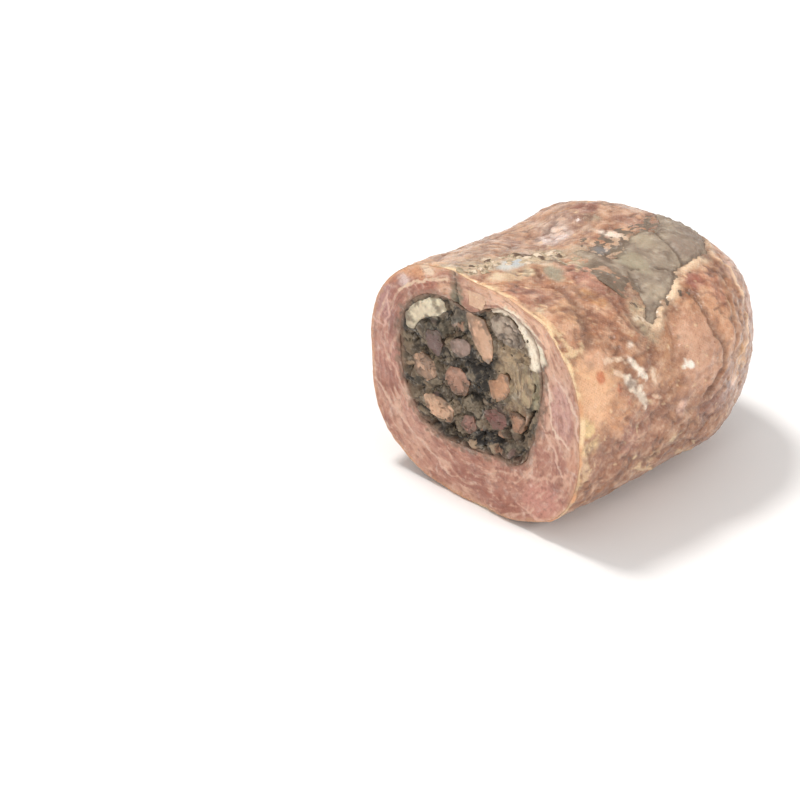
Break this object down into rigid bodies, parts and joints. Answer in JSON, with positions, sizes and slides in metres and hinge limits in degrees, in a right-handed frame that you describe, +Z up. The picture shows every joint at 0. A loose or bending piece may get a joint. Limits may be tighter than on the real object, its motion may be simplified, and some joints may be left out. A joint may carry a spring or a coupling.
{
  "type": "chicken roulade",
  "caption": "Cooked rolled chicken with skin, lying on its side, cut at one end to show a dark stuffing set with pieces of liver, meat and fat.",
  "frame": {"origin": "on the surface the roll lies on, below the middle of the roll's box", "axes": "+Y along the roll from the cut to the closed end, +Z up"},
  "size_m": [0.1005, 0.1128, 0.0823],
  "materials": {
    "chicken_roll": "moist cooked skin and meat",
    "stuffing": "moist, coarse",
    "tan_liver": "moist, smooth",
    "dark_liver": "moist, smooth",
    "pale_meat": "moist, fibrous",
    "pink_meat": "moist, fibrous",
    "mushroom": "moist, fibrous",
    "fat": "waxy"
  },
  "bodies": {
    "root": {"chicken_roll": "chicken_roll", "stuffing": "stuffing", "long_tan_piece": "tan_liver", "pink_grey_piece": "pink_meat", "tan_piece": "tan_liver", "mauve_piece": "dark_liver", "fat_strip": "fat", "beige_top_piece": "pale_meat", "grey_swirl_piece": "mushroom", "olive_piece": "mushroom", "brown_piece": "tan_liver", "red_brown_piece": "dark_liver", "pale_left_piece": "pale_meat", "tan_low_piece": "tan_liver", "beige_low_piece": "pale_meat", "pink_low_piece": "pink_meat"}
  },
  "joints": []
}
